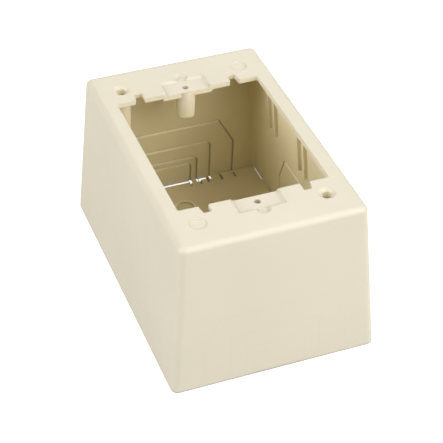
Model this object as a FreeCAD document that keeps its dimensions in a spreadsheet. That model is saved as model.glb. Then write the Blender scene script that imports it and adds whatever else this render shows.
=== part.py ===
import FreeCAD, Part
import math
import os
import re

import Sketcher

# Deep surface mount box for one wiring device: a drafted housing that drops over a flat base plate.
# Millimetres. The wall side lies on z = 0, +Z points out of the wall, +Y runs along the long side, and the
# origin is the middle of the wall side. The box looks the same after half a turn about Z.

SIZES = {
    # Plan of the front, laid out round the device that it holds
    "device_spacing": 83.34,
    "opening_width": 63.0,
    "opening_corner": 1.0,
    "device_edge": 3.57,
    "side_margin": 7.1,
    "end_margin": 19.5,
    # Walls of the housing
    "height": 69.1,
    "side_draft": 4.17,
    "end_draft": 3.46,
    "wall": 2.3,
    "outer_corner": 3.0,
    "cavity_corner": 1.0,
    "top_round": 2.6,
    # Notches at the ends of the opening
    "notch_inset": 8.95,
    "notch_width": 3.4,
    "notch_flare": 0.65,
    "notch_depth": 4.5,
    "notch_corner": 0.7,
    # Seats, bosses and holes for the device
    "recess_width": 19.6,
    "recess_reach": 5.5,
    "recess_depth": 1.15,
    "recess_flank": 35.0,
    "device_hole": 2.7,
    "boss_diameter": 8.5,
    "boss_length": 13.1,
    "boss_draft": 1.6,
    "boss_bevel": 0.6,
    "seat_diameter": 5.4,
    # Screws in two opposite corners, dimples in the other two
    "corner_inset": 4.85,
    "screw_reach": 5.6,
    "dimple_reach": 6.2,
    "screw_hole": 4.3,
    "screw_head": 7.2,
    "screw_cone": 110.0,
    "dimple_diameter": 7.0,
    "dimple_depth": 0.4,
    "dimple_flank": 50.0,
    "post_diameter": 7.8,
    "post_length": 22.0,
    "post_draft": 1.5,
    # Upright ribs on the long walls, in pairs
    "rib_thickness": 1.2,
    "rib_depth": 1.5,
    "rib_foot": 42.0,
    "rib_gap": 6.6,
    "rib_pitch": 32.7,
    # Score lines round the raceway entries: the smallest entry, then the step out to each next one
    "score_width": 1.2,
    "score_depth": 0.75,
    "score_flank": 36.0,
    "score_lead": 0.2,
    "entry_width": 19.0,
    "entry_height": 10.7,
    "entry_corner": 2.0,
    "second_step": 3.0,
    "second_rise": 3.35,
    "second_corner": 2.5,
    "third_step": 6.35,
    "third_rise": 7.5,
    "third_corner": 3.0,
    "outer_step": 11.3,
    "outer_rise": 10.65,
    "shoulder_width": 7.35,
    "shoulder_drop": 13.4,
    # Base plate
    "base_thickness": 1.2,
    "base_gap": 0.3,
    "base_corner": 1.2,
    "base_relief": 0.45,
    "relief_length": 11.5,
    "set_back": 2.0,
    "finger_margin": 0.9,
    "foot_depth": 2.8,
    "slit_width": 0.9,
    "slit_depth": 0.95,
    "slit_length": 5.1,
    "wall_spacing": 79.4,
    "collar_width": 10.0,
    "collar_length": 16.4,
    "collar_wall": 1.2,
    "collar_height": 1.0,
    "slot_width": 4.4,
    "slot_length": 5.0,
    "pillar_diameter": 9.0,
    "pillar_draft": 1.0,
    "pilot_hole": 2.7,
    "pilot_depth": 14.0,
    # How far a cut runs past the faces it opens
    "overrun": 1.0,
}

# Places that more than one feature uses
OPENING_LENGTH = "(device_spacing - 2 * device_edge)"
OPENING_SIDE = "(opening_width / 2)"
OPENING_END = f"({OPENING_LENGTH} / 2)"
TOP_WIDTH = "(opening_width + 2 * side_margin)"
TOP_LENGTH = "(device_spacing + 2 * end_margin)"
FOOT_WIDTH = f"({TOP_WIDTH} + 2 * height * tan(side_draft))"
FOOT_LENGTH = f"({TOP_LENGTH} + 2 * height * tan(end_draft))"
CAVITY_WIDTH = f"({FOOT_WIDTH} - 2 * wall / cos(side_draft))"
CAVITY_LENGTH = f"({FOOT_LENGTH} - 2 * wall / cos(end_draft))"
UNDERSIDE = "(height - wall)"
MEETING_HEIGHT = f"({UNDERSIDE} - post_length)"
BASE_WIDTH = f"({CAVITY_WIDTH} - 2 * base_gap)"
BASE_LENGTH = f"({CAVITY_LENGTH} - 2 * base_gap)"
DEVICE_ROW = "(device_spacing / 2)"
SCREW_ROW = "(device_spacing / 2 + screw_reach)"
DIMPLE_ROW = "(device_spacing / 2 + dimple_reach)"
SCREW_COLUMN = f"({OPENING_SIDE} - corner_inset)"

# Half widths and heights of the four raceway entries, from the smallest out
ENTRY_HALVES = ["(entry_width / 2)"]
ENTRY_TOPS = ["entry_height"]
for step_name in ("second", "third", "outer"):
    ENTRY_HALVES.append(f"({ENTRY_HALVES[-1]} + {step_name}_step)")
    ENTRY_TOPS.append(f"({ENTRY_TOPS[-1]} + {step_name}_rise)")

# Width of a score line's cutter where it starts, clear of the wall
SCORE_MOUTH = "(score_width + 2 * score_lead * tan(score_flank))"

# How close two places must be to count as one
SAME_PLACE = 1e-4

doc = FreeCAD.newDocument("SurfaceMountBox")
sheet = doc.addObject("Spreadsheet::Sheet", "Sizes")
for row_number, (alias, size) in enumerate(SIZES.items(), start=1):
    sheet.set(f"A{row_number}", alias)
    sheet.set(f"B{row_number}", str(size))
    sheet.setAlias(f"B{row_number}", alias)
doc.recompute()


def linked(formula):
    """The formula with each size named as a cell of the sheet."""
    return re.sub(r"[a-z]\w*", lambda word: f"Sizes.{word[0]}" if word[0] in SIZES else word[0], formula)


def number(formula):
    """What the formula comes to with the sheet's present sizes."""
    return float(sheet.evalExpression(formula))


def origin_item(body, role):
    return next(item for item in body.Origin.OriginFeatures if item.Role == role)


class Drawing:
    """A sketch on one of a body's own planes. Its shapes and rules are gathered, then handed over together."""

    def __init__(self, body, name, lift="0", role="XY_Plane", lean=None):
        self.sketch = body.newObject("Sketcher::SketchObject", name)
        self.sketch.AttachmentSupport = [(origin_item(body, role), "")]
        self.sketch.MapMode = "FlatFace"
        if lean:
            turn = FreeCAD.Rotation(FreeCAD.Vector(1, 0, 0), number(lean))
            self.sketch.AttachmentOffset = FreeCAD.Placement(FreeCAD.Vector(), turn)
            self.sketch.setExpression("AttachmentOffset.Rotation.Angle", linked(lean))
        self.sketch.setExpression("AttachmentOffset.Base.z", linked(lift))
        self.shapes = []
        self.rules = []
        self.formulas = {}

    def add(self, shape):
        self.shapes.append(shape)
        return len(self.shapes) - 1

    def rule(self, kind, *ends):
        self.rules.append(Sketcher.Constraint(kind, *ends))

    def dimension(self, kind, *ends, formula):
        """A dimension that follows the sheet."""
        self.formulas[len(self.rules)] = formula
        self.rule(kind, *ends, number(formula))

    def hold(self, shape, point, u, v):
        """Keep one point of a shape at (u, v) from the sketch's origin."""
        self.dimension("DistanceX", -1, 1, shape, point, formula=u)
        self.dimension("DistanceY", -1, 1, shape, point, formula=v)

    def join(self, loop, kind):
        """Join the end of each shape in a closed loop to the start of the next."""
        for shape, following in zip(loop, loop[1:] + loop[:1]):
            self.rule(kind, shape, 2, following, 1)

    def line(self, start, end):
        return self.add(Part.LineSegment(FreeCAD.Vector(*start, 0), FreeCAD.Vector(*end, 0)))

    def arc(self, centre, radius, start, end):
        """An arc between two directions, given in half turns from the first axis."""
        circle = Part.Circle(FreeCAD.Vector(*centre, 0), FreeCAD.Vector(0, 0, 1), radius)
        return self.add(Part.ArcOfCircle(circle, start * math.pi, end * math.pi))

    def circle(self, u, v, diameter):
        centre = FreeCAD.Vector(number(u), number(v), 0)
        shape = self.add(Part.Circle(centre, FreeCAD.Vector(0, 0, 1), number(diameter) / 2))
        self.hold(shape, 3, u, v)
        self.dimension("Diameter", shape, formula=diameter)

    def polygon(self, corners):
        """A closed outline of straight lines through corners given as (u, v) formulas."""
        points = [(number(u), number(v)) for u, v in corners]
        loop = [self.line(start, end) for start, end in zip(points, points[1:] + points[:1])]
        self.join(loop, "Coincident")
        for shape, (u, v) in zip(loop, corners):
            self.hold(shape, 1, u, v)

    def rectangle(self, left, right, near, far):
        corners = [(left, near), (right, near), (right, far), (left, far)]
        points = [(number(u), number(v)) for u, v in corners]
        loop = [self.line(start, end) for start, end in zip(points, points[1:] + points[:1])]
        self.join(loop, "Coincident")
        for shape, kind in zip(loop, ("Horizontal", "Vertical", "Horizontal", "Vertical")):
            self.rule(kind, shape)
        self.hold(loop[0], 1, left, near)
        self.hold(loop[2], 1, right, far)

    def rounded_rectangle(self, width, length, corner):
        """A rectangle with round corners, centred on the sketch's origin."""
        right = number(width) / 2
        far = number(length) / 2
        radius = number(corner)
        u = right - radius
        v = far - radius
        near_side = self.line((-u, -far), (u, -far))
        first_arc = self.arc((u, -v), radius, -1 / 2, 0)
        right_side = self.line((right, -v), (right, v))
        second_arc = self.arc((u, v), radius, 0, 1 / 2)
        far_side = self.line((u, far), (-u, far))
        third_arc = self.arc((-u, v), radius, 1 / 2, 1)
        left_side = self.line((-right, v), (-right, -v))
        fourth_arc = self.arc((-u, -v), radius, 1, 3 / 2)
        self.join([near_side, first_arc, right_side, second_arc, far_side, third_arc, left_side, fourth_arc],
                  "Tangent")
        for side in (near_side, far_side):
            self.rule("Horizontal", side)
        for side in (left_side, right_side):
            self.rule("Vertical", side)
        for arc in (second_arc, third_arc, fourth_arc):
            self.rule("Equal", first_arc, arc)
        self.rule("Symmetric", first_arc, 3, third_arc, 3, -1, 1)
        self.dimension("Radius", first_arc, formula=corner)
        self.dimension("DistanceX", left_side, 1, right_side, 1, formula=width)
        self.dimension("DistanceY", near_side, 1, far_side, 1, formula=length)

    def arch(self, half, top, corner, width):
        """A strip of that width along an arch with round corners. Its feet end below the sketch's origin."""
        outer_side = f"({half} + {width} / 2)"
        inner_side = f"({half} - {width} / 2)"
        outer_top = f"({top} + {width} / 2)"
        inner_top = f"({top} - {width} / 2)"
        outer = number(outer_side)
        inner = number(inner_side)
        foot = number("-overrun")
        across = number(f"{half} - {corner}")
        up = number(f"{top} - {corner}")
        outer_radius = number(f"{corner} + {width} / 2")
        inner_radius = number(f"{corner} - {width} / 2")
        right_outer = self.line((outer, foot), (outer, up))
        first_arc = self.arc((across, up), outer_radius, 0, 1 / 2)
        outer_line = self.line((across, up + outer_radius), (-across, up + outer_radius))
        second_arc = self.arc((-across, up), outer_radius, 1 / 2, 1)
        left_outer = self.line((-outer, up), (-outer, foot))
        left_foot = self.line((-outer, foot), (-inner, foot))
        left_inner = self.line((-inner, foot), (-inner, up))
        third_arc = self.arc((-across, up), inner_radius, 1 / 2, 1)
        inner_line = self.line((-across, up + inner_radius), (across, up + inner_radius))
        fourth_arc = self.arc((across, up), inner_radius, 0, 1 / 2)
        right_inner = self.line((inner, up), (inner, foot))
        right_foot = self.line((inner, foot), (outer, foot))
        for shape, following in ((right_outer, first_arc), (first_arc, outer_line), (outer_line, second_arc),
                                 (second_arc, left_outer)):
            self.rule("Tangent", shape, 2, following, 1)
        self.rule("Tangent", left_inner, 2, third_arc, 2)
        self.rule("Tangent", third_arc, 1, inner_line, 1)
        self.rule("Tangent", inner_line, 2, fourth_arc, 2)
        self.rule("Tangent", fourth_arc, 1, right_inner, 1)
        for shape, following in ((left_outer, left_foot), (left_foot, left_inner), (right_inner, right_foot),
                                 (right_foot, right_outer)):
            self.rule("Coincident", shape, 2, following, 1)
        for side in (right_outer, left_outer, left_inner, right_inner):
            self.rule("Vertical", side)
        for level in (outer_line, left_foot, inner_line, right_foot):
            self.rule("Horizontal", level)
        self.rule("Equal", first_arc, second_arc)
        self.rule("Equal", third_arc, fourth_arc)
        self.hold(right_outer, 1, outer_side, "-overrun")
        self.hold(left_outer, 2, f"-{outer_side}", "-overrun")
        self.dimension("DistanceX", -1, 1, left_inner, 1, formula=f"-{inner_side}")
        self.dimension("DistanceX", -1, 1, right_inner, 2, formula=inner_side)
        self.dimension("DistanceY", -1, 1, outer_line, 1, formula=outer_top)
        self.dimension("DistanceY", -1, 1, inner_line, 1, formula=inner_top)
        self.dimension("Radius", first_arc, formula=f"{corner} + {width} / 2")
        self.dimension("Radius", third_arc, formula=f"{corner} - {width} / 2")

    def slot(self, u, v, width, length):
        """A slot with round ends, lying along the sketch's second axis with its middle at (u, v)."""
        reach = f"(({length}) - ({width})) / 2"
        near_centre = f"{v} - {reach}"
        far_centre = f"{v} + {reach}"
        middle = number(u)
        near = number(near_centre)
        far = number(far_centre)
        radius = number(width) / 2
        right_side = self.line((middle + radius, near), (middle + radius, far))
        far_end = self.arc((middle, far), radius, 0, 1)
        left_side = self.line((middle - radius, far), (middle - radius, near))
        near_end = self.arc((middle, near), radius, 1, 2)
        self.join([right_side, far_end, left_side, near_end], "Tangent")
        self.rule("Equal", far_end, near_end)
        self.hold(far_end, 3, u, far_centre)
        self.hold(near_end, 3, u, near_centre)
        self.dimension("Diameter", far_end, formula=width)

    def finish(self):
        """Hand the shapes and rules to the sketch, and tie each dimension to the sheet."""
        self.sketch.addGeometry(self.shapes)
        self.sketch.addConstraint(self.rules)
        for index, formula in self.formulas.items():
            self.sketch.setExpression(f"Constraints[{index}]", linked(formula))
        return self.sketch


def volume_of(body):
    return 0.0 if body.Shape.isNull() else body.Shape.Volume


def finish_feature(body, feature, volume_before, adds):
    """Recompute, and stop if the feature failed or didn't change the solid the way it should."""
    doc.recompute()
    failed = "Invalid" in feature.State or "Error" in feature.State
    change = body.Shape.Volume - volume_before
    if failed or abs(change) < SAME_PLACE or (change > 0) != adds:
        raise RuntimeError(f"{body.Name}: {feature.Name} changed the volume by {change:.3f}: {feature.State}")
    return feature


def pad(body, name, drawing, length, down=False, draft=None):
    before = volume_of(body)
    feature = body.newObject("PartDesign::Pad", name)
    feature.Profile = drawing.finish()
    feature.Reversed = down
    feature.setExpression("Length", linked(length))
    if draft:
        feature.setExpression("TaperAngle", linked(f"-({draft})"))
    return finish_feature(body, feature, before, adds=True)


def pocket(body, name, drawing, length=None, upward=False, flank=None):
    """Cut against the sketch's normal, or along it, to a depth or right through, with upright or sloping flanks."""
    before = volume_of(body)
    feature = body.newObject("PartDesign::Pocket", name)
    feature.Profile = drawing.finish()
    feature.Reversed = upward
    if length:
        feature.setExpression("Length", linked(length))
    else:
        feature.Type = "ThroughAll"
    if flank:
        feature.setExpression("TaperAngle", linked(f"-({flank})"))
    return finish_feature(body, feature, before, adds=False)


def edges_where(shape, chosen):
    return [f"Edge{index}" for index, edge in enumerate(shape.Edges, start=1) if chosen(edge)]


def round_edges(body, name, radius, chosen, adds=False):
    """Round the edges of the body's present shape that the test picks."""
    before = volume_of(body)
    base = body.Tip
    feature = body.newObject("PartDesign::Fillet", name)
    feature.Base = (base, edges_where(base.Shape, chosen))
    feature.setExpression("Radius", linked(radius))
    return finish_feature(body, feature, before, adds)


def bevel_edges(body, name, size, chosen):
    """Bevel the edges of the body's present shape that the test picks."""
    before = volume_of(body)
    base = body.Tip
    feature = body.newObject("PartDesign::Chamfer", name)
    feature.Base = (base, edges_where(base.Shape, chosen))
    feature.setExpression("Size", linked(size))
    return finish_feature(body, feature, before, adds=False)


def faces_looking(shape, *directions):
    """Names of the faces that look along one of the directions, to within an eighth of a turn."""
    names = []
    for index, face in enumerate(shape.Faces, start=1):
        normal = face.normalAt(0, 0)
        if any(normal.getAngle(direction) < math.pi / 4 for direction in directions):
            names.append(f"Face{index}")
    return names


def lean_faces(body, name, angle, direction):
    """Draft the two faces that look along the direction and against it, about the wall side."""
    before = volume_of(body)
    base = body.Tip
    feature = body.newObject("PartDesign::Draft", name)
    feature.Base = (base, faces_looking(base.Shape, direction, -direction))
    feature.NeutralPlane = (origin_item(body, "XY_Plane"), [""])
    feature.setExpression("Angle", linked(angle))
    return finish_feature(body, feature, before, adds=False)


def hollow(body, name, thickness, direction):
    """Leave a wall of even thickness inside the body's faces, open on the side that looks along the direction."""
    before = volume_of(body)
    base = body.Tip
    feature = body.newObject("PartDesign::Thickness", name)
    feature.Base = (base, faces_looking(base.Shape, direction))
    feature.Reversed = True
    feature.Join = "Intersection"
    feature.setExpression("Value", linked(thickness))
    return finish_feature(body, feature, before, adds=False)


def turn_half_round(body, name, features, adds=False):
    """Repeat features on the opposite side of the body."""
    before = volume_of(body)
    pattern = body.newObject("PartDesign::PolarPattern", name)
    pattern.Originals = features
    pattern.Axis = (origin_item(body, "Z_Axis"), [""])
    pattern.Angle = 360
    pattern.Occurrences = 2
    body.Tip = pattern
    return finish_feature(body, pattern, before, adds)


def is_at(value, place):
    return abs(value - place) < SAME_PLACE


def lies_at(edge, height):
    """Whether an edge lies level, at that height."""
    middle = edge.valueAt((edge.FirstParameter + edge.LastParameter) / 2)
    return is_at(middle.z, height) and all(is_at(vertex.Z, height) for vertex in edge.Vertexes)


def is_corner(edge, width):
    """Whether an edge stands up at a corner of a hollow or a block of that width at its foot."""
    foot = min(edge.Vertexes, key=lambda vertex: vertex.Z)
    return edge.BoundBox.ZLength > number("height") / 2 and is_at(abs(foot.X), width / 2)


def is_upright(edge, places):
    """Whether an edge stands upright over one of the places, given as distances from the two middle planes."""
    first = edge.Vertexes[0]
    last = edge.Vertexes[-1]
    upright = is_at(first.X, last.X) and is_at(first.Y, last.Y) and not is_at(first.Z, last.Z)
    return upright and any(is_at(abs(first.X), x) and is_at(abs(first.Y), y) for x, y in places)


def make_walls(body):
    """A block with drafted sides and ends, hollowed from the wall side, with round corners and front edge."""
    foot = Drawing(body, "foot_outline")
    half_width = f"{FOOT_WIDTH} / 2"
    half_length = f"{FOOT_LENGTH} / 2"
    foot.rectangle(f"-{half_width}", half_width, f"-{half_length}", half_length)
    pad(body, "block", foot, "height")
    lean_faces(body, "drafted_sides", "side_draft", FreeCAD.Vector(1, 0, 0))
    lean_faces(body, "drafted_ends", "end_draft", FreeCAD.Vector(0, 1, 0))
    hollow(body, "walls", "wall", FreeCAD.Vector(0, 0, -1))
    cavity_width = number(CAVITY_WIDTH)
    foot_width = number(FOOT_WIDTH)
    front = number("height")
    round_edges(body, "inner_corners", "cavity_corner", lambda edge: is_corner(edge, cavity_width), adds=True)
    round_edges(body, "outer_corners", "outer_corner", lambda edge: is_corner(edge, foot_width))
    round_edges(body, "front_edge", "top_round", lambda edge: lies_at(edge, front))


def make_bosses(body):
    """Under the flange: thick pads below the recesses, and drafted bosses for device and corner screws."""
    pads = Drawing(body, "pad_outlines", lift=UNDERSIDE)
    side = "recess_width / 2 + recess_depth"
    near = f"{OPENING_END} - overrun"
    far = f"{DEVICE_ROW} + recess_reach + recess_depth"
    pads.rectangle(f"-({side})", side, near, far)
    pads.rectangle(f"-({side})", side, f"-({far})", f"-({near})")
    pad(body, "device_pads", pads, "recess_depth", down=True)

    bosses = Drawing(body, "boss_circles", lift=UNDERSIDE)
    bosses.circle("0", DEVICE_ROW, "boss_diameter")
    bosses.circle("0", f"-{DEVICE_ROW}", "boss_diameter")
    pad(body, "device_bosses", bosses, "boss_length", down=True, draft="boss_draft")
    boss_end = number(f"{UNDERSIDE} - boss_length")
    bevel_edges(body, "boss_ends", "boss_bevel", lambda edge: lies_at(edge, boss_end))

    posts = Drawing(body, "post_circles", lift=UNDERSIDE)
    posts.circle(f"-{SCREW_COLUMN}", SCREW_ROW, "post_diameter")
    posts.circle(SCREW_COLUMN, f"-{SCREW_ROW}", "post_diameter")
    pad(body, "corner_posts", posts, "post_length", down=True, draft="post_draft")


def draw_scores(drawing):
    """A strip for each score line: three arches with round corners, and the widest one with sloping shoulders."""
    for half, top, corner in zip(ENTRY_HALVES, ENTRY_TOPS, ("entry_corner", "second_corner", "third_corner")):
        drawing.arch(half, top, corner, SCORE_MOUTH)
    top_turn = "atan(shoulder_drop / shoulder_width)"
    side_turn = "atan(shoulder_width / shoulder_drop)"
    right_edges = []
    for edge in (f"+ {SCORE_MOUTH} / 2", f"- {SCORE_MOUTH} / 2"):
        side = f"({ENTRY_HALVES[-1]} {edge})"
        top = f"({ENTRY_TOPS[-1]} {edge})"
        top_half = f"({ENTRY_HALVES[-1]} - shoulder_width {edge} * tan({top_turn} / 2))"
        shoulder = f"({ENTRY_TOPS[-1]} - shoulder_drop {edge} * tan({side_turn} / 2))"
        right_edges.append([(side, "-overrun"), (side, shoulder), (top_half, top)])
    outer, inner = right_edges
    outer_left = [(f"-{u}", v) for u, v in reversed(outer)]
    inner_left = [(f"-{u}", v) for u, v in inner]
    drawing.polygon(outer + outer_left + inner_left + inner[::-1])


def make_wall_details(body):
    """Upright ribs and the score lines of the raceway entries: one end and one side, then turned half round."""
    ribs = Drawing(body, "rib_outlines", role="YZ_Plane", lean="side_draft",
                   lift=f"-({CAVITY_WIDTH} / 2 + wall / 2)")
    for pair in ("-rib_pitch", "0", "rib_pitch"):
        for middle in (f"{pair} - rib_gap / 2", f"{pair} + rib_gap / 2"):
            left = f"{middle} - rib_thickness / 2"
            right = f"{middle} + rib_thickness / 2"
            ribs.rectangle(left, right, "rib_foot", "height - wall / 2")
    side_ribs = pad(body, "ribs", ribs, "wall / 2 + rib_depth")
    turn_half_round(body, "opposite_ribs", [side_ribs], adds=True)

    end_lines = Drawing(body, "end_score_outlines", role="XZ_Plane", lean="end_draft",
                        lift=f"-({CAVITY_LENGTH} / 2 - score_lead)")
    draw_scores(end_lines)
    end_scores = pocket(body, "end_scores", end_lines, "score_depth + score_lead", flank="score_flank")

    side_lines = Drawing(body, "side_score_outlines", role="YZ_Plane", lean="side_draft",
                         lift=f"-({CAVITY_WIDTH} / 2 - score_lead)")
    draw_scores(side_lines)
    side_scores = pocket(body, "side_scores", side_lines, "score_depth + score_lead", flank="score_flank")
    turn_half_round(body, "opposite_scores", [end_scores, side_scores])


def make_opening(body):
    """The device opening with a notch near each corner of its ends."""
    outline = Drawing(body, "opening_outline", lift="height")
    outline.rounded_rectangle("opening_width", OPENING_LENGTH, "opening_corner")
    pocket(body, "opening", outline)

    notches = Drawing(body, "notch_outlines", lift="height")
    outer = f"({OPENING_SIDE} - notch_inset)"
    mouth = f"({outer} + notch_flare)"
    inner = f"({outer} - notch_width)"
    near = f"({OPENING_END} - overrun)"
    far = f"({OPENING_END} + notch_depth)"
    for side in ("", "-"):
        for end in ("", "-"):
            corners = [(inner, near), (mouth, near), (mouth, OPENING_END), (outer, far), (inner, far)]
            notches.polygon([(side + u, end + v) for u, v in corners])
    pocket(body, "notches", notches, "wall + overrun")

    ends = [(number(inner), number(far)), (number(outer), number(far))]
    mouths = [(number(inner), number(OPENING_END)), (number(mouth), number(OPENING_END))]
    round_edges(body, "notch_ends", "notch_corner", lambda edge: is_upright(edge, ends), adds=True)
    round_edges(body, "notch_mouths", "notch_corner", lambda edge: is_upright(edge, mouths))


def make_front_details(body):
    """Recesses, screw seats, holes and dimples in the front of the flange."""
    recesses = Drawing(body, "recess_outlines", lift="height")
    near = f"({OPENING_END} - recess_depth - overrun)"
    far = f"({DEVICE_ROW} + recess_reach)"
    recesses.rectangle("-recess_width / 2", "recess_width / 2", near, far)
    recesses.rectangle("-recess_width / 2", "recess_width / 2", f"-{far}", f"-{near}")
    pocket(body, "recesses", recesses, "recess_depth", flank="recess_flank")

    seats = Drawing(body, "seat_circles", lift="height")
    seats.circle("0", DIMPLE_ROW, "seat_diameter")
    seats.circle("0", f"-{DIMPLE_ROW}", "seat_diameter")
    pocket(body, "plate_seats", seats, "recess_depth", flank="recess_flank")

    device_holes = Drawing(body, "device_hole_circles", lift="height")
    device_holes.circle("0", DEVICE_ROW, "device_hole")
    device_holes.circle("0", f"-{DEVICE_ROW}", "device_hole")
    pocket(body, "device_holes", device_holes)

    dimples = Drawing(body, "dimple_circles", lift="height")
    dimples.circle(SCREW_COLUMN, DIMPLE_ROW, "dimple_diameter")
    dimples.circle(f"-{SCREW_COLUMN}", f"-{DIMPLE_ROW}", "dimple_diameter")
    pocket(body, "dimples", dimples, "dimple_depth", flank="dimple_flank")

    screw_holes = Drawing(body, "screw_hole_circles", lift="height")
    screw_holes.circle(f"-{SCREW_COLUMN}", SCREW_ROW, "screw_hole")
    screw_holes.circle(SCREW_COLUMN, f"-{SCREW_ROW}", "screw_hole")
    before = volume_of(body)
    hole = body.newObject("PartDesign::Hole", "screw_holes")
    hole.Profile = screw_holes.finish()
    hole.DepthType = "ThroughAll"
    hole.HoleCutType = "Countersink"
    hole.setExpression("Diameter", linked("screw_hole"))
    hole.setExpression("HoleCutDiameter", linked("screw_head"))
    hole.setExpression("HoleCutCountersinkAngle", linked("screw_cone"))
    finish_feature(body, hole, before, adds=False)


def make_housing():
    body = doc.addObject("PartDesign::Body", "housing")
    body.Label = "housing"
    make_walls(body)
    make_bosses(body)
    make_opening(body)
    make_front_details(body)
    make_wall_details(body)
    return body


def make_plate(body):
    """The flat plate, slots for the wall screws in raised collars, and pillars for the housing's screws."""
    outline = Drawing(body, "plate_outline")
    outline.rounded_rectangle(BASE_WIDTH, BASE_LENGTH, "base_corner")
    pad(body, "plate", outline, "base_thickness")

    collars = Drawing(body, "collar_outlines")
    slots = Drawing(body, "slot_outlines")
    for row in ("wall_spacing / 2", "-wall_spacing / 2"):
        collars.slot("0", row, "collar_width", "collar_length")
        collars.slot("0", row, "collar_width - 2 * collar_wall", "collar_length - 2 * collar_wall")
        slots.slot("0", row, "slot_width", "slot_length")
    pad(body, "collars", collars, "base_thickness + collar_height")
    pocket(body, "wall_slots", slots, upward=True)

    pillars = Drawing(body, "pillar_circles")
    pilots = Drawing(body, "pilot_circles", lift=MEETING_HEIGHT)
    for column, row in ((f"-{SCREW_COLUMN}", SCREW_ROW), (SCREW_COLUMN, f"-{SCREW_ROW}")):
        pillars.circle(column, row, "pillar_diameter")
        pilots.circle(column, row, "pilot_hole")
    pad(body, "pillars", pillars, MEETING_HEIGHT, draft="pillar_draft")
    pocket(body, "pilot_holes", pilots, "pilot_depth")


def make_edges(body):
    """Edges of the plate: set back from the wall between fingers, with slits and the feet of the score lines."""
    first = f"({ENTRY_HALVES[0]} - finger_margin)"
    second = f"({ENTRY_HALVES[1]} + finger_margin)"
    third = f"({ENTRY_HALVES[2]} - 2 * finger_margin)"
    fifth = ENTRY_HALVES[3]
    fourth = f"(({third} + {fifth}) / 2)"
    spans = [(f"-{first}", first), (second, third), (f"-{third}", f"-{second}")]
    slit_spans = []
    for middle in (first, second, third, fourth, fifth):
        for sign in ("", "-"):
            slit_spans.append((f"{sign}{middle} - slit_width / 2", f"{sign}{middle} + slit_width / 2"))

    end = f"{BASE_LENGTH} / 2"
    side = f"{BASE_WIDTH} / 2"
    gaps = Drawing(body, "finger_gaps")
    for start, stop in spans:
        gaps.rectangle(start, stop, f"{end} - set_back", f"{end} + overrun")
        gaps.rectangle(f"{side} - set_back", f"{side} + overrun", start, stop)
    set_backs = pocket(body, "set_backs", gaps, upward=True)

    feet = Drawing(body, "score_feet")
    for middle in ENTRY_HALVES[:3]:
        for sign in ("", "-"):
            start = f"{sign}{middle} - score_width / 2"
            stop = f"{sign}{middle} + score_width / 2"
            feet.rectangle(start, stop, f"{end} - foot_depth", f"{end} + overrun")
            feet.rectangle(f"{side} - foot_depth", f"{side} + overrun", start, stop)
    score_feet = pocket(body, "score_feet_cuts", feet, upward=True)

    slit_outlines = Drawing(body, "slit_outlines", lift="base_thickness")
    for start, stop in slit_spans:
        slit_outlines.rectangle(start, stop, f"{end} - slit_length", f"{end} + overrun")
        slit_outlines.rectangle(f"{side} - slit_length", f"{side} + overrun", start, stop)
    slits = pocket(body, "slits", slit_outlines, "slit_depth")

    relief_outlines = Drawing(body, "relief_outlines")
    start = f"{end} - relief_length"
    stop = f"{end} + overrun"
    relief_outlines.rectangle(f"{side} - base_relief", f"{side} + overrun", start, stop)
    relief_outlines.rectangle(f"-{side} - overrun", f"-{side} + base_relief", start, stop)
    reliefs = pocket(body, "corner_reliefs", relief_outlines, upward=True)
    turn_half_round(body, "opposite_edges", [set_backs, score_feet, slits, reliefs])


def make_base_plate():
    body = doc.addObject("PartDesign::Body", "base_plate")
    body.Label = "base_plate"
    make_plate(body)
    make_edges(body)
    return body


pieces = [make_housing(), make_base_plate()]
doc.recompute()

for item in doc.Objects:
    if "Invalid" in item.State or "Error" in item.State:
        raise RuntimeError(f"{item.Name} failed: {item.State}")
for piece in pieces:
    if piece.Shape.isNull() or not piece.Shape.isValid() or len(piece.Shape.Solids) != 1:
        raise RuntimeError(f"{piece.Label} isn't one valid solid")

os.makedirs("parts", exist_ok=True)
for piece in pieces:
    piece.Shape.exportStep(f"parts/{piece.Label}.step")
    box = piece.Shape.optimalBoundingBox()
    extent = f"{box.XLength:.2f} x {box.YLength:.2f} x {box.ZLength:.2f} mm"
    print(f"{piece.Label}: {piece.Shape.Volume:.0f} mm3, {extent}")
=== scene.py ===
# %% [markdown]
# # A surface mount box, lit and finished
# A surface mount box is a deep plastic box that is screwed to a wall and holds one wiring device in its open
# front. The CAD model already has its true shape: a drafted housing and the flat base plate inside its foot.
# This lesson doesn't model them again. It gives the two mouldings their plastic, and then a camera, a floor
# and light.

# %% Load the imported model
import math
from types import SimpleNamespace

import bpy
from mathutils import Matrix, Vector


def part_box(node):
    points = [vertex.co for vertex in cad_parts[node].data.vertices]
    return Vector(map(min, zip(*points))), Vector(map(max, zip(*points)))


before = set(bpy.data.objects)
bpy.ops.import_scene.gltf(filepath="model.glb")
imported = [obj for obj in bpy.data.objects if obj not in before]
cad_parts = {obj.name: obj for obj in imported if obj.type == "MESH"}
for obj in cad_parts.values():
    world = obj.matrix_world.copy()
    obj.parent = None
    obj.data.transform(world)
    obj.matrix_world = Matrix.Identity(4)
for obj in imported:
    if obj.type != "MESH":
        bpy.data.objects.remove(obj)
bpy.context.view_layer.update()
MM = 0.001

# %% [markdown]
# ## The camera
# The picture looks down into the box past its near left corner. A camera is placed by where it looks from:
# the azimuth turns it round the box, the elevation lifts it and the roll tips the picture a little.
# The last two shifts move it sideways and up, so that the box lies in the frame as it does in the picture.
# A long lens far away keeps the walls' edges nearly parallel, as a product photographer likes them.

# %% Camera
CAMERA_AZIMUTH = math.radians(-20.972)
CAMERA_ELEVATION = math.radians(38.931)
CAMERA_ROLL = math.radians(0.586)
CAMERA_DISTANCE = 678.673 * MM
CAMERA_SIDE_SHIFT = 1.256 * MM
CAMERA_LIFT = 20.454 * MM
LENS = 127.31


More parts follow.
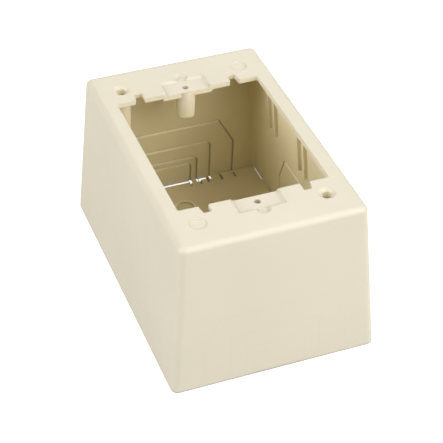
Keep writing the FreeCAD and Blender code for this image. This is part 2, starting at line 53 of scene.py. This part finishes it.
def outward(azimuth, elevation):
    """The direction from the box to something that stands round it. Azimuth 0 is in front of the near end."""
    level = math.cos(elevation)
    return Vector((math.sin(azimuth) * level, -math.cos(azimuth) * level, math.sin(elevation)))


def place_camera():
    backward = outward(CAMERA_AZIMUTH, CAMERA_ELEVATION)
    level = Vector((math.cos(CAMERA_AZIMUTH), math.sin(CAMERA_AZIMUTH), 0))
    upright = backward.cross(level)
    right = math.cos(CAMERA_ROLL) * level + math.sin(CAMERA_ROLL) * upright
    up = math.cos(CAMERA_ROLL) * upright - math.sin(CAMERA_ROLL) * level
    eye = right * CAMERA_SIDE_SHIFT + up * CAMERA_LIFT + backward * CAMERA_DISTANCE
    camera = bpy.data.objects.new("camera", bpy.data.cameras.new("camera"))
    bpy.context.scene.collection.objects.link(camera)
    camera.matrix_world = Matrix.Translation(eye) @ Matrix((right, up, backward)).transposed().to_4x4()
    camera.data.lens = LENS
    bpy.context.scene.camera = camera
    return camera


camera = place_camera()
print("camera at", [round(value, 4) for value in camera.location])

# %% [markdown]
# ## Small helpers for node trees
# Every finish below is a tree of nodes. Adding a node, setting it and linking its inputs takes three kinds of
# line, so one helper does all three: a value sets a socket, and another node's output links to it.
# Three more helpers do sums on numbers and on vectors, and fade from one number to another as a value passes
# between two limits.


# %% Node helpers
def put(tree, kind, inputs, **settings):
    """Add a node to the tree, set its own settings, and give each named or numbered input a value or a link."""
    node = tree.nodes.new(kind)
    for name, value in settings.items():
        setattr(node, name, value)
    for name, value in inputs.items():
        if isinstance(value, bpy.types.NodeSocket):
            tree.links.new(value, node.inputs[name])
        else:
            node.inputs[name].default_value = value
    return node


def calc(tree, operation, *values):
    """The result of one sum on sockets and numbers."""
    return put(tree, "ShaderNodeMath", dict(enumerate(values)), operation=operation).outputs["Value"]


def calc_vector(tree, operation, *values, result="Vector"):
    """The result of one sum on vectors, which is a vector or a plain value."""
    return put(tree, "ShaderNodeVectorMath", dict(enumerate(values)), operation=operation).outputs[result]


def fade(tree, value, start, end, low=0.0, high=1.0):
    """A smooth way from the low number to the high one while the value goes from start to end."""
    limits = {"Value": value, "From Min": start, "From Max": end, "To Min": low, "To Max": high}
    return put(tree, "ShaderNodeMapRange", limits, interpolation_type="SMOOTHSTEP").outputs["Result"]


print("helpers:", ", ".join(helper.__name__ for helper in (put, calc, calc_vector, fade)))

# %% [markdown]
# ## A white table
# The box stands on a white table that is lit from below: there is hardly a shadow, and the gap behind the base
# plate shows white. A floor that shines by itself gives both. The camera sees it fully white, but it throws
# only part of that on the walls. The Light Path node tells the two apart.

# %% Floor
FLOOR_SIZE = 3.0
FLOOR_DROP = 0.05 * MM
FLOOR_GREY = (0.25, 0.25, 0.25, 1)
FLOOR_ROUGHNESS = 0.9
WHITE = (1, 1, 1, 1)
FLOOR_SEEN = 1.0
FLOOR_GLOW = 0.26


def shine(tree, thrown):
    """A strength that the camera sees in full, and that throws only part of it on the box."""
    path = put(tree, "ShaderNodeLightPath", {})
    return fade(tree, path.outputs["Is Camera Ray"], 0.0, 1.0, thrown, FLOOR_SEEN)


def make_floor():
    half = FLOOR_SIZE / 2
    mesh = bpy.data.meshes.new("floor")
    corners = [(x, y, -FLOOR_DROP) for x, y in ((-half, -half), (half, -half), (half, half), (-half, half))]
    mesh.from_pydata(corners, [], [(0, 1, 2, 3)])
    floor = bpy.data.objects.new("floor", mesh)
    bpy.context.scene.collection.objects.link(floor)
    material = bpy.data.materials.new("white table")
    material.use_nodes = True
    tree = material.node_tree
    shader = tree.nodes["Principled BSDF"]
    shader.inputs["Base Color"].default_value = FLOOR_GREY
    shader.inputs["Roughness"].default_value = FLOOR_ROUGHNESS
    shader.inputs["Emission Color"].default_value = WHITE
    tree.links.new(shine(tree, FLOOR_GLOW), shader.inputs["Emission Strength"])
    mesh.materials.append(material)


make_floor()
print("floor", FLOOR_SIZE, "m wide")

# %% [markdown]
# ## Soft boxes
# Large soft boxes stand round the table. Three at the right of the camera light the near end, the boss and the
# left part of the inner walls. A strong one from the left fills the long wall beside the camera and the inner
# wall across the opening. One from behind puts a pale sheen on the flange. The room itself is nearly dark, but
# the camera sees it white like the table, so that a low view has a white backdrop too.

# %% Lamps
BOX_DISTANCE = 1.2
BOX_WIDTH = 1.1
ROOM_LIGHT = 0.02
SOFT_BOXES = {
    "right front": (50, 30, 9.8),
    "right front high": (40, 58, 3.6),
    "front": (20, 30, 5.5),
    "left": (-90, 30, 14.5),
    "right back": (150, 36, 5.2),
}


def hang_soft_box(name, azimuth, elevation, power):
    """A square soft lamp that stands in a direction given in degrees and looks at the box."""
    data = bpy.data.lights.new(name, "AREA")
    data.energy = power
    data.size = BOX_WIDTH
    lamp = bpy.data.objects.new(name, data)
    bpy.context.scene.collection.objects.link(lamp)
    direction = outward(math.radians(azimuth), math.radians(elevation))
    turn = (-direction).to_track_quat("-Z", "Y").to_matrix().to_4x4()
    lamp.matrix_world = Matrix.Translation(direction * BOX_DISTANCE) @ turn


def dim_room():
    world = bpy.data.worlds.new("room")
    world.use_nodes = True
    tree = world.node_tree
    background = tree.nodes["Background"]
    background.inputs["Color"].default_value = WHITE
    tree.links.new(shine(tree, ROOM_LIGHT), background.inputs["Strength"])
    bpy.context.scene.world = world


dim_room()
for name, (azimuth, elevation, power) in SOFT_BOXES.items():
    hang_soft_box(name, azimuth, elevation, power)
bpy.context.scene.view_settings.view_transform = "Standard"
print("soft boxes:", ", ".join(SOFT_BOXES))

# %% [markdown]
# ## Where a point lies
# The finish changes from place to place: outside and inside, in a score line, on a boss. A picture wrapped
# round the mesh could hold that, but sums on the point's own place need no picture and stay sharp at any size.
# So each material first measures how far a point is from the middle of the box, and how deep it lies under the
# drafted outer faces. The height of the face's normal tells how far it looks up.

# %% Place
SIDE_DRAFT = math.radians(4.17)
END_DRAFT = math.radians(3.46)
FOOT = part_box("housing")[1]


def measure_place(tree):
    """A point's place, its distances from the middle planes, its depths, and the normal of its face."""
    point = put(tree, "ShaderNodeTexCoord", {}).outputs["Object"]
    parts = put(tree, "ShaderNodeSeparateXYZ", {"Vector": point}).outputs
    place = SimpleNamespace(point=point, x=parts["X"], y=parts["Y"], height=parts["Z"])
    place.across = calc(tree, "ABSOLUTE", place.x)
    place.along = calc(tree, "ABSOLUTE", place.y)
    side = calc(tree, "MULTIPLY_ADD", place.height, -math.tan(SIDE_DRAFT), FOOT.x)
    end = calc(tree, "MULTIPLY_ADD", place.height, -math.tan(END_DRAFT), FOOT.y)
    place.under_side = calc(tree, "SUBTRACT", side, place.across)
    place.under_end = calc(tree, "SUBTRACT", end, place.along)
    place.under_wall = calc(tree, "MINIMUM", place.under_side, place.under_end)
    place.under_front = calc(tree, "SUBTRACT", FOOT.z, place.height)
    place.flat = put(tree, "ShaderNodeNewGeometry", {}).outputs["Normal"]
    place.up = put(tree, "ShaderNodeSeparateXYZ", {"Vector": place.flat}).outputs["Z"]
    return place


print("outer corner of the foot at", [round(value / MM, 2) for value in FOOT], "mm")

# %% [markdown]
# ## Which side of the wall
# The two sides of a wall get different skins. The outside is a pale ivory with the sink marks, while the inside
# gets a deeper ivory: painted light, for the light that bounces between the inner walls. Both are one mesh, so
# the depth tells them apart. The inner skin starts within the wall, between the outer corners and the bottoms of
# the score lines, and right at the edge of the opening on upright faces. A level face counts as less deep, so
# that the floors of the recesses keep the skin of the front.

# %% Skins
WALL_SKINS = (1.25 * MM, 1.55 * MM)
FRONT_SKINS = (-0.6 * MM, 0.8 * MM)
LEVEL_DELAY = 2.5 * MM


def find_inside(tree, place, under_front, front_depths):
    """1 on the inner skin and 0 on the outer one, fading between two depths under the front."""
    past_wall = fade(tree, place.under_wall, *WALL_SKINS)
    past_front = fade(tree, under_front, *front_depths)
    return calc(tree, "MULTIPLY", past_wall, past_front)


def find_inner_skin(tree, place):
    """The same for the two ivories, with level faces counted as less deep."""
    under_rim = calc(tree, "MULTIPLY_ADD", place.up, -LEVEL_DELAY, place.under_front)
    return find_inside(tree, place, under_rim, FRONT_SKINS)


print("inner skin starts", [round(depth / MM, 2) for depth in WALL_SKINS], "mm under the outside")

# %% [markdown]
# ## Shade in the score lines
# Painted shade darkens the bottom of a score line, and a painted highlight makes its upward flank lighter. Only
# the bottoms of the lines lie within the thickness of the wall, so their depth tells them from the plain wall.
# The short slits in the base plate lie below its top in the same way and get the same painted shade. The collars
# round
# the wall screws stand above the plate: their steep flanks get painted shade and their level tops a painted
# highlight.

# %% Score lines
SCORE_DEPTHS = (2.27 * MM, 1.75 * MM)
# Painted shade in score lines, slits and collar flanks; painted highlight on upward flanks.
SCORE_SHADE = -0.42
SCORE_SHEEN = 0.7
UP_FLANK = (0.1, 0.6)
FLAT_UNDERSIDE = -0.9
PLATE_START = 2.5 * MM
SLIT_HEIGHTS = (1.15 * MM, 0.5 * MM)
COLLAR_FOOT = 1.7 * MM
COLLAR_TOP = 2.3 * MM
COLLAR_SHADE = 0.45
# A painted highlight on the collars' level tops.
COLLAR_TOP_HIGHLIGHT = 0.16
STEEP = (0.6, 0.3)


def light_collar_tops(tree, place, on_plate):
    """The painted highlight to add to the tone on the level tops of the collars."""
    above = calc(tree, "GREATER_THAN", place.height, COLLAR_FOOT)
    on_top = calc(tree, "MULTIPLY", above, calc(tree, "LESS_THAN", place.height, COLLAR_TOP))
    on_collar = calc(tree, "MULTIPLY", on_top, on_plate)
    return calc(tree, "MULTIPLY", on_collar, fade(tree, place.up, *STEEP, COLLAR_TOP_HIGHLIGHT, 0.0))


def shade_scores(tree, place, inside):
    """Painted shade in score lines, slits and collar flanks, and painted highlights on upward flanks and collar
    tops.
    """
    on_plate = calc(tree, "GREATER_THAN", place.under_wall, PLATE_START)
    flank = fade(tree, place.up, *STEEP, 0.0, COLLAR_SHADE)
    low = calc(tree, "MAXIMUM", fade(tree, place.height, *SLIT_HEIGHTS), flank)
    low = calc(tree, "MULTIPLY", low, calc(tree, "LESS_THAN", place.height, COLLAR_TOP))
    in_slit = calc(tree, "MULTIPLY", low, on_plate)
    not_under = calc(tree, "GREATER_THAN", place.up, FLAT_UNDERSIDE)
    in_score = calc(tree, "MULTIPLY", fade(tree, place.under_wall, *SCORE_DEPTHS), not_under)
    sunk = calc(tree, "MULTIPLY", calc(tree, "MAXIMUM", in_score, in_slit), inside)
    sheen = calc(tree, "MULTIPLY", fade(tree, place.up, *UP_FLANK), calc(tree, "SUBTRACT", 1.0, on_plate))
    shade = calc(tree, "MULTIPLY_ADD", sheen, SCORE_SHEEN, SCORE_SHADE)
    return calc(tree, "MULTIPLY_ADD", sunk, shade, light_collar_tops(tree, place, on_plate))


print("score lines shaded from", round(SCORE_DEPTHS[0] / MM, 2), "mm under the outside")

# %% [markdown]
# ## Holes and dimples
# The device holes in the front run down into bosses, where light hardly follows, so their bores get painted
# shade.
# Two corners have a blind dimple instead of a hole. Its outline gets a soft ring of painted shade, a little
# darker than the front. Both are found by the distance from an axis. The dimples are in the two corners where x
# and y have the same sign.

# %% Holes and dimples
DEVICE_ROW = 41.67 * MM
BORE_RADIUS = 1.45 * MM
BORE_TOP = 1.1 * MM
BORE_END = 16.0 * MM
BORE_SHADE = -0.16
DIMPLE_COLUMN = 26.65 * MM
DIMPLE_ROW = 47.87 * MM
DIMPLE_RADIUS = 3.4 * MM
RING_WIDTH = 0.8 * MM
RING_SHADE = -0.06


def reach_from(tree, place, column, row):
    """How far a point is from an axis that stands on the front."""
    aside = calc(tree, "SUBTRACT", place.across, column)
    ahead = calc(tree, "SUBTRACT", place.along, row)
    return calc(tree, "SQRT", calc(tree, "MULTIPLY_ADD", aside, aside, calc(tree, "MULTIPLY", ahead, ahead)))


def shade_hollows(tree, place):
    """The painted shade to add to the tone in bores and on the rings of the dimples."""
    on_front = calc(tree, "LESS_THAN", place.under_front, BORE_TOP)
    below = calc(tree, "SUBTRACT", calc(tree, "LESS_THAN", place.under_front, BORE_END), on_front)
    near = calc(tree, "LESS_THAN", reach_from(tree, place, 0.0, DEVICE_ROW), BORE_RADIUS)
    shade = calc(tree, "MULTIPLY", calc(tree, "MULTIPLY", near, below), BORE_SHADE)
    same_sign = calc(tree, "GREATER_THAN", calc(tree, "MULTIPLY", place.x, place.y), 0.0)
    from_ring = calc(tree, "SUBTRACT", reach_from(tree, place, DIMPLE_COLUMN, DIMPLE_ROW), DIMPLE_RADIUS)
    ring = fade(tree, calc(tree, "ABSOLUTE", from_ring), 0.0, RING_WIDTH, RING_SHADE, 0.0)
    return calc(tree, "MULTIPLY_ADD", calc(tree, "MULTIPLY", same_sign, on_front), ring, shade)


print("bores", round(2 * BORE_RADIUS / MM, 1), "mm and dimples", round(2 * DIMPLE_RADIUS / MM, 1), "mm across")

# %% [markdown]
# ## Round bosses
# A curved face comes out of CAD as a ring of flat strips. The bosses under the flange stand in full light, where
# the strips would show, so their normals are worked out anew: straight away from the boss's axis, and turning
# down towards its end, where the real one is rounded. Faces that look another way keep the normal they have.

# %% Boss normals
BOSS_REACH = 4.6 * MM
BOSS_END = (53.7 * MM, 55.2 * MM)
BOSS_SIDE = 0.6


def round_bosses(tree, place, inside, normal):
    """The normal, with a true round one on the bosses."""
    beyond = calc(tree, "SUBTRACT", place.along, DEVICE_ROW)
    ahead = calc(tree, "MULTIPLY", beyond, calc(tree, "SIGN", place.y))
    spoke = put(tree, "ShaderNodeCombineXYZ", {"X": place.x, "Y": ahead}).outputs["Vector"]
    reach = calc_vector(tree, "LENGTH", spoke, result="Value")
    out = calc_vector(tree, "NORMALIZE", spoke)
    agreement = calc_vector(tree, "DOT_PRODUCT", out, place.flat, result="Value")
    near = calc(tree, "MULTIPLY", calc(tree, "LESS_THAN", reach, BOSS_REACH), inside)
    on_boss = calc(tree, "MULTIPLY", near, calc(tree, "GREATER_THAN", agreement, BOSS_SIDE))
    drop = fade(tree, place.height, *BOSS_END, -1.0, 0.0)
    down = put(tree, "ShaderNodeCombineXYZ", {"Z": drop}).outputs["Vector"]
    round_normal = calc_vector(tree, "NORMALIZE", calc_vector(tree, "ADD", out, down))
    choice = {"Factor": on_boss, "A": normal, "B": round_normal}
    return put(tree, "ShaderNodeMix", choice, data_type="VECTOR").outputs["Result"]


print("bosses", round(2 * DEVICE_ROW / MM, 2), "mm apart")

# %% [markdown]
# ## Sink marks
# Behind each score line the wall is thinner and cools first, so a keen eye finds a faint line on the smooth
# outside. A line is where the distance to an outline is about zero, and the distance to a box is the larger of
# two differences. The widest entry has sloping shoulders, which add a third difference. The same sums serve both
# ends and both sides: the point measures along whichever wall it is nearer to.

# %% Sink marks
ENTRIES = ((9.5 * MM, 10.7 * MM), (12.5 * MM, 14.05 * MM), (18.85 * MM, 21.55 * MM), (30.15 * MM, 32.2 * MM))
SHOULDER_WIDTH = 7.35 * MM
SHOULDER_DROP = 13.4 * MM
MARK_WIDTH = 0.9 * MM


def cut_shoulders(tree, outside, beside, above):
    """The distance to a box, with its two upper corners cut off along a slope."""
    slope = math.hypot(SHOULDER_WIDTH, SHOULDER_DROP)
    leaning = calc(tree, "MULTIPLY", beside, SHOULDER_DROP / slope)
    leaning = calc(tree, "MULTIPLY_ADD", above, SHOULDER_WIDTH / slope, leaning)
    leaning = calc(tree, "ADD", leaning, SHOULDER_WIDTH * SHOULDER_DROP / slope)
    return calc(tree, "MAXIMUM", outside, leaning)


def find_marks(tree, place):
    """1 on the middle of a sink mark, fading to 0 beside it."""
    on_end = calc(tree, "LESS_THAN", place.under_end, place.under_side)
    walls = {"Factor": on_end, "A": place.along, "B": place.across}
    spread = put(tree, "ShaderNodeMix", walls).outputs["Result"]
    marks = None
    for half, top in ENTRIES:
        beside = calc(tree, "SUBTRACT", spread, half)
        above = calc(tree, "SUBTRACT", place.height, top)
        outside = calc(tree, "MAXIMUM", beside, above)
        if (half, top) == ENTRIES[-1]:
            outside = cut_shoulders(tree, outside, beside, above)
        line = fade(tree, calc(tree, "ABSOLUTE", outside), 0.0, MARK_WIDTH, 1.0, 0.0)
        marks = line if marks is None else calc(tree, "MAXIMUM", marks, line)
    return marks


print(len(ENTRIES), "nested entries, the widest", round(2 * ENTRIES[-1][0] / MM, 1), "mm across")

# %% [markdown]
# ## Soft edges with a painted highlight
# A moulded edge is never quite sharp. The Bevel node turns the normals along an edge as if it were round, so
# that it catches the light, and the mesh stays as it is. How round depends on the place: the outer edges are
# soft, the ones round the opening crisper, those by the device screws softest, and the inner ones nearly sharp.
# Where the rounded normal leaves the true one there is an edge: it gets a painted highlight, lighter and paler
# in colour, and a slightly smoother gloss.

# %% Edges
OUTER_ROUND = 1.4 * MM
FRONT_ROUND = 0.55 * MM
SEAT_ROUND = 1.9 * MM
INNER_ROUND = 0.12 * MM
FRONT_START = (3.0 * MM, 4.5 * MM)
SEAT_REACH = (10.0 * MM, 12.0 * MM)
FRONT_ROUNDING = (0.8 * MM, 1.2 * MM)
# Edges more than 4.5 mm inside the outer faces get a fifth of the painted highlight and smoother gloss.
FRONT_EDGE_HIGHLIGHT_AND_WEAR = 0.2
EDGE_TURN = 0.06
BEVEL_SAMPLES = 6


def soften_edges(tree, place):
    """The normal with rounded edges, and a mask that is 1 on an edge, for its painted highlight and smoother
    gloss.
    """
    crisp = find_inside(tree, place, place.under_front, FRONT_ROUNDING)
    radius = fade(tree, place.under_wall, *FRONT_START, OUTER_ROUND, FRONT_ROUND)
    radius = fade(tree, place.across, *SEAT_REACH, SEAT_ROUND, radius)
    radius = fade(tree, crisp, 0.0, 1.0, radius, INNER_ROUND)
    normal = put(tree, "ShaderNodeBevel", {"Radius": radius}, samples=BEVEL_SAMPLES).outputs["Normal"]
    agreement = calc_vector(tree, "DOT_PRODUCT", normal, place.flat, result="Value")
    edge = fade(tree, agreement, 1.0 - EDGE_TURN, 1.0, 1.0, 0.0)
    highlight_and_wear = fade(tree, place.under_wall, *FRONT_START, 1.0, FRONT_EDGE_HIGHLIGHT_AND_WEAR)
    return normal, calc(tree, "MULTIPLY", edge, highlight_and_wear)


print("edges rounded by", INNER_ROUND / MM, "to", SEAT_ROUND / MM, "mm")

# %% [markdown]
# ## Colour
# The outside is a pale ivory. Inside it is deeper, and paler again near the opening; both inner tones are
# painted light, for light bouncing in the box and light falling in at the opening. A Mix node blends the three
# by place.
# Broad noise makes the tone drift a little, as a flow of hot plastic does. A line with painted shade is darker
# and also stronger in colour, as if light bounced in it more than once, and an edge with a painted highlight is
# paler and weaker. A sink mark gets a touch of painted shade.

# %% Colour
OUTER_IVORY = (0.72, 0.664, 0.519, 1)
# Painted light: paler ivory near the opening where light falls in, deeper further in where it bounces.
UPPER_LIT_IVORY = (0.84, 0.76, 0.57, 1)
INNER_BOUNCE_IVORY = (0.835, 0.742, 0.482, 1)
UPPER_REACH = (6.0 * MM, 18.0 * MM)
NOISE_SPAN = (0.3, 0.7)
FLOW_TONES = (0.985, 1.015)
# A faint painted shade along the sink marks, beside their bump.
MARK_SHADE = -0.012
# Painted highlight on edges: a little lighter and paler.
EDGE_HIGHLIGHT_TONE = 0.02
SHADE_STRENGTH = -0.6
EDGE_HIGHLIGHT_STRENGTH = -0.4


def tint(tree, place, inside, edge, marks, flow):
    """The ivory of a point, by its skin, its depth in the box and the painted shade and highlights on it."""
    deep = {"Factor": fade(tree, place.under_front, *UPPER_REACH), "A": UPPER_LIT_IVORY, "B": INNER_BOUNCE_IVORY}
    inner = put(tree, "ShaderNodeMix", deep, data_type="RGBA").outputs["Result"]
    skins = {"Factor": inside, "A": OUTER_IVORY, "B": inner}
    skin = put(tree, "ShaderNodeMix", skins, data_type="RGBA").outputs["Result"]
    shade = shade_scores(tree, place, inside)
    tone = fade(tree, flow, *NOISE_SPAN, *FLOW_TONES)
    tone = calc(tree, "MULTIPLY_ADD", marks, MARK_SHADE, tone)
    tone = calc(tree, "MULTIPLY_ADD", edge, EDGE_HIGHLIGHT_TONE, tone)
    tone = calc(tree, "ADD", tone, shade)
    tone = calc(tree, "ADD", tone, shade_hollows(tree, place))
    strength = calc(tree, "MULTIPLY_ADD", shade, SHADE_STRENGTH, 1.0)
    strength = calc(tree, "MULTIPLY_ADD", edge, EDGE_HIGHLIGHT_STRENGTH, strength)
    ivory = put(tree, "ShaderNodeHueSaturation", {"Color": skin, "Value": tone, "Saturation": strength})
    return ivory.outputs["Color"]


print("ivory outside", OUTER_IVORY[:3], "and deep inside", INNER_BOUNCE_IVORY[:3])

# %% [markdown]
# ## Ivory plastic
# The plastic is satin: it shines softly, and a second noise makes that gloss drift as if lightly smudged. Two
# bumps sit on top of the rounded normal, the faint sink marks and a fine eroded grain. Each moulding gets a
# material of its own with its noise moved, so that the two don't match where they meet.

# %% Ivory plastic
FLOW = {"Scale": 22.0, "Detail": 3.0}
SMUDGE = {"Scale": 75.0, "Detail": 4.0}
GRAIN = {"Scale": 1800.0, "Detail": 2.0}
SHEEN = 0.6
ROUGHNESS = (0.40, 0.47)
EDGE_ROUGHNESS = -0.08
MARK_BUMP = {"Strength": 0.4, "Distance": 0.02 * MM}
GRAIN_BUMP = {"Strength": 0.15, "Distance": 0.03 * MM}
DRIFTS = {"housing": 0.0, "base_plate": 0.37}


def make_noises(tree, place, drift):
    """Broad flow, smaller smudges and fine grain, all moved by the drift."""
    moved = put(tree, "ShaderNodeMapping", {"Vector": place.point, "Location": (drift, drift, drift)})
    shifted = {"Vector": moved.outputs["Vector"]}
    return [put(tree, "ShaderNodeTexNoise", shifted | size).outputs["Fac"] for size in (FLOW, SMUDGE, GRAIN)]


def make_ivory(name, drift):
    """The satin ivory of one moulding."""
    material = bpy.data.materials.new(name)
    material.use_nodes = True
    tree = material.node_tree
    shader = tree.nodes["Principled BSDF"]
    shader.inputs["Specular IOR Level"].default_value = SHEEN
    place = measure_place(tree)
    inside = find_inner_skin(tree, place)
    marks = calc(tree, "MULTIPLY", find_marks(tree, place), calc(tree, "SUBTRACT", 1.0, inside))
    flow, smudge, grain = make_noises(tree, place, drift)
    normal, edge = soften_edges(tree, place)
    tree.links.new(tint(tree, place, inside, edge, marks, flow), shader.inputs["Base Color"])

    roughness = fade(tree, smudge, *NOISE_SPAN, *ROUGHNESS)
    roughness = calc(tree, "MULTIPLY_ADD", edge, EDGE_ROUGHNESS, roughness)
    tree.links.new(roughness, shader.inputs["Roughness"])

    normal = round_bosses(tree, place, inside, normal)
    sunk = put(tree, "ShaderNodeBump", MARK_BUMP | {"Height": marks, "Normal": normal}, invert=True)
    eroded = put(tree, "ShaderNodeBump", GRAIN_BUMP | {"Height": grain, "Normal": sunk.outputs["Normal"]})
    tree.links.new(eroded.outputs["Normal"], shader.inputs["Normal"])
    return material


for node_name, drift in DRIFTS.items():
    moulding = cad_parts[node_name]
    moulding.data.materials[0] = make_ivory(f"{node_name} ivory", drift)
    print(node_name, "finished with", moulding.data.materials[0].name)
